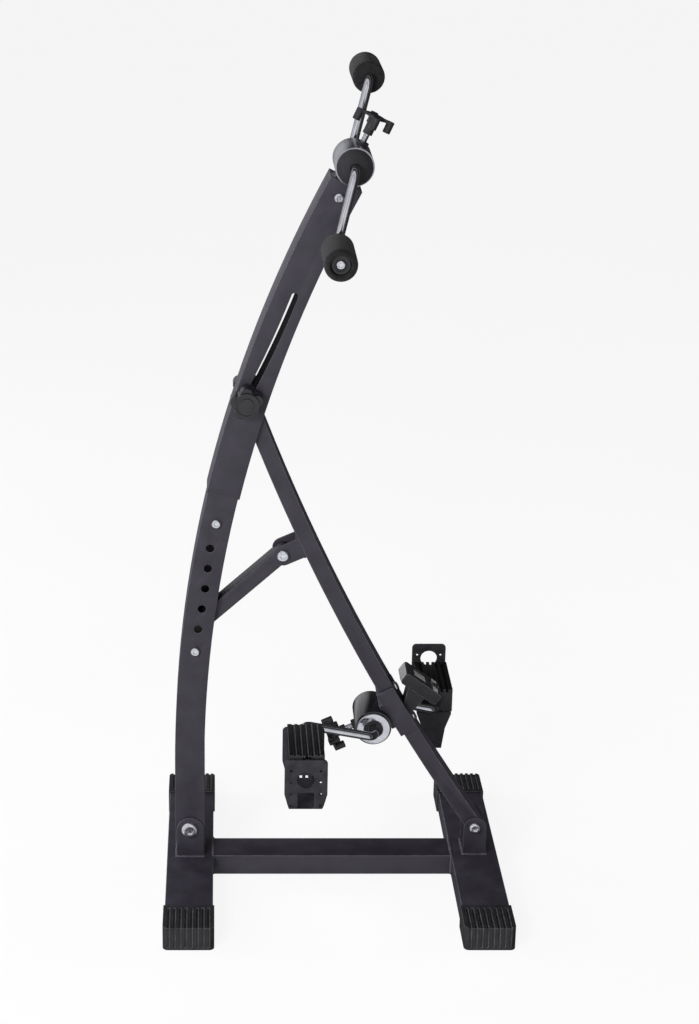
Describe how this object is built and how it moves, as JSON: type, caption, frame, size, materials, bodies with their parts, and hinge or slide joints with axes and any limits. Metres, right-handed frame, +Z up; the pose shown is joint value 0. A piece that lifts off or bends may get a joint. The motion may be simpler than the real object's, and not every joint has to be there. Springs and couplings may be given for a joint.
{
  "type": "arm and leg pedal exerciser",
  "caption": "Free-standing pedal exerciser: H-shaped floor base, curved telescoping mast with a hand crank at the top, and a leaning strut with a strapped foot crank.",
  "frame": {"origin": "centre of the base's footprint on the floor", "axes": "+X from the mast's foot towards the strut's foot, +Y along the feet away from the viewer, +Z up"},
  "size_m": [0.471, 0.42, 1.1396],
  "materials": {
    "frame_paint": "satin charcoal powder coat",
    "hub_paint": "satin black powder coat",
    "drum_steel": "turned steel, satin",
    "rod_chrome": "polished chrome plate",
    "bolt_chrome": "zinc or chrome plated steel",
    "cap_plastic": "matte black polypropylene",
    "knob_plastic": "black ABS, semi gloss",
    "grip_rubber": "matt black rubber foam",
    "pedal_plastic": "matte black nylon",
    "strap_rubber": "matt dark grey moulded rubber",
    "bush_plastic": "natural black acetal",
    "bearing_steel": "ground steel",
    "case_plastic": "dark grey ABS",
    "button_plastic": "grey ABS",
    "pin_steel": "blackened steel"
  },
  "bodies": {
    "base": {"left_foot_tube": "frame_paint", "right_foot_tube": "frame_paint", "cross_rail": "frame_paint", "left_near_cap": "cap_plastic", "left_far_cap": "cap_plastic", "right_near_cap": "cap_plastic", "right_far_cap": "cap_plastic", "left_bracket": "frame_paint", "right_bracket": "frame_paint", "pivot_bolts": "bolt_chrome", "pivot_nuts": "bolt_chrome"},
    "mast": {"mast_lower_tube": "frame_paint", "mast_upper_tube": "frame_paint", "mast_pivot_bush": "bush_plastic", "mast_bolts": "bolt_chrome", "mast_nuts": "bolt_chrome", "upper_hub_stem": "hub_paint", "upper_hub_shell": "drum_steel", "upper_hub_caps": "cap_plastic", "upper_bearings": "bearing_steel", "upper_tension_boss": "cap_plastic"},
    "upper_pad": {"upper_brake_pad": "bush_plastic"},
    "upper_tension": {"upper_tension_screw": "bolt_chrome", "upper_tension_knob": "knob_plastic"},
    "upper_crank": {"upper_crank_rod": "rod_chrome", "grip_screws": "bolt_chrome"},
    "near_grip": {"near_grip": "grip_rubber"},
    "far_grip": {"far_grip": "grip_rubber"},
    "strut": {"strut_tube": "frame_paint", "strut_pivot_bush": "bush_plastic", "clamp_bush": "bearing_steel", "brace_clevis": "frame_paint", "clevis_bolt": "bolt_chrome", "clevis_nut": "bolt_chrome", "hub_saddle": "frame_paint", "saddle_bolts": "bolt_chrome", "lower_hub_shell": "hub_paint", "lower_hub_rings": "rod_chrome", "lower_dust_caps": "cap_plastic", "lower_bearings": "bearing_steel", "lower_tension_boss": "cap_plastic", "counter_bracket": "cap_plastic", "counter_housing": "case_plastic"},
    "near_washer": {"near_clamp_washer": "bolt_chrome"},
    "near_knob": {"near_clamp_knob": "knob_plastic"},
    "far_knob": {"clamp_bolt": "bolt_chrome", "far_clamp_knob": "knob_plastic"},
    "lower_pad": {"lower_brake_pad": "bush_plastic"},
    "lower_tension": {"lower_tension_screw": "bolt_chrome", "lower_tension_knob": "knob_plastic"},
    "lower_crank": {"lower_crank_rod": "rod_chrome", "pedal_screws": "bolt_chrome"},
    "near_pedal": {"near_pedal": "pedal_plastic", "near_strap": "strap_rubber"},
    "far_pedal": {"far_pedal": "pedal_plastic", "far_strap": "strap_rubber"},
    "brace": {"brace_link": "frame_paint", "brace_guides": "bush_plastic"},
    "lock_pin": {"lock_pin": "pin_steel"},
    "counter_button": {"counter_button": "button_plastic"}
  },
  "joints": [
    {"name": "mast_tilt", "type": "hinge", "parent": "base", "child": "mast", "pos_m": [-0.201, 0, 0.074], "axis": [0, 1, 0], "range_deg": [0, 11.6]},
    {"name": "strut_swing", "type": "hinge", "parent": "base", "child": "strut", "pos_m": [0.201, 0, 0.074], "axis": [0, 1, 0], "range_deg": [0, 16.63]},
    {"name": "brace_swing", "type": "hinge", "parent": "strut", "child": "brace", "pos_m": [-0.07352, 0, 0.48726], "axis": [0, 1, 0], "range_deg": [0, 2.33]},
    {"name": "lock_pin_slide", "type": "slide", "parent": "brace", "child": "lock_pin", "axis": [0, 1, 0], "range_m": [-0.004, 0]},
    {"name": "upper_crank_turn", "type": "hinge", "parent": "mast", "child": "upper_crank", "pos_m": [0.01099, 0, 1.02262], "axis": [0, 1, 0], "continuous": true},
    {"name": "near_grip_turn", "type": "hinge", "parent": "upper_crank", "child": "near_grip", "pos_m": [-0.01134, 0, 0.92668], "axis": [0, 1, 0], "continuous": true},
    {"name": "far_grip_turn", "type": "hinge", "parent": "upper_crank", "child": "far_grip", "pos_m": [0.03331, 0, 1.11856], "axis": [0, 1, 0], "continuous": true},
    {"name": "upper_knob_turn", "type": "hinge", "parent": "upper_pad", "child": "upper_tension", "pos_m": [0.01099, 0, 1.02262], "axis": [0.4147, 0, 0.91], "range_deg": [0, 720]},
    {"name": "upper_pad_slide", "type": "slide", "parent": "mast", "child": "upper_pad", "axis": [0.4147, 0, 0.91], "range_m": [0, 0.0025]},
    {"name": "lower_crank_turn", "type": "hinge", "parent": "strut", "child": "lower_crank", "pos_m": [0.0527, 0, 0.23702], "axis": [0, 1, 0], "continuous": true},
    {"name": "near_pedal_turn", "type": "hinge", "parent": "lower_crank", "child": "near_pedal", "pos_m": [-0.04412, 0, 0.25514], "axis": [0, 1, 0], "continuous": true},
    {"name": "far_pedal_turn", "type": "hinge", "parent": "lower_crank", "child": "far_pedal", "pos_m": [0.14952, 0, 0.2189], "axis": [0, 1, 0], "continuous": true},
    {"name": "lower_knob_turn", "type": "hinge", "parent": "lower_pad", "child": "lower_tension", "pos_m": [0.0527, 0, 0.23702], "axis": [-0.9063, 0, -0.4226], "range_deg": [0, 720]},
    {"name": "lower_pad_slide", "type": "slide", "parent": "strut", "child": "lower_pad", "axis": [-0.9063, 0, -0.4226], "range_m": [0, 0.0025]},
    {"name": "near_knob_turn", "type": "hinge", "parent": "near_washer", "child": "near_knob", "pos_m": [-0.12402, 0, 0.71293], "axis": [0, -1, 0], "range_deg": [0, 720]},
    {"name": "near_washer_slide", "type": "slide", "parent": "strut", "child": "near_washer", "axis": [0, -1, 0], "range_m": [0, 0.0025]},
    {"name": "far_knob_turn", "type": "hinge", "parent": "strut", "child": "far_knob", "pos_m": [-0.12402, 0, 0.71293], "axis": [0, 1, 0], "range_deg": [0, 360]},
    {"name": "button_press", "type": "slide", "parent": "strut", "child": "counter_button", "axis": [-0.5881, 0, -0.8088], "range_m": [0, 0.0015], "stiffness_N_per_m": 400, "springref_m": -0.0005}
  ],
  "couplings": [
    {"joint": "strut_swing", "follows": "mast_tilt", "ratio": 1.433},
    {"joint": "brace_swing", "follows": "mast_tilt", "ratio": 0.2},
    {"joint": "upper_pad_slide", "follows": "upper_knob_turn", "m_per_rad": 0.00019894},
    {"joint": "lower_pad_slide", "follows": "lower_knob_turn", "m_per_rad": 0.00019894},
    {"joint": "near_washer_slide", "follows": "near_knob_turn", "m_per_rad": 0.00019894}
  ]
}
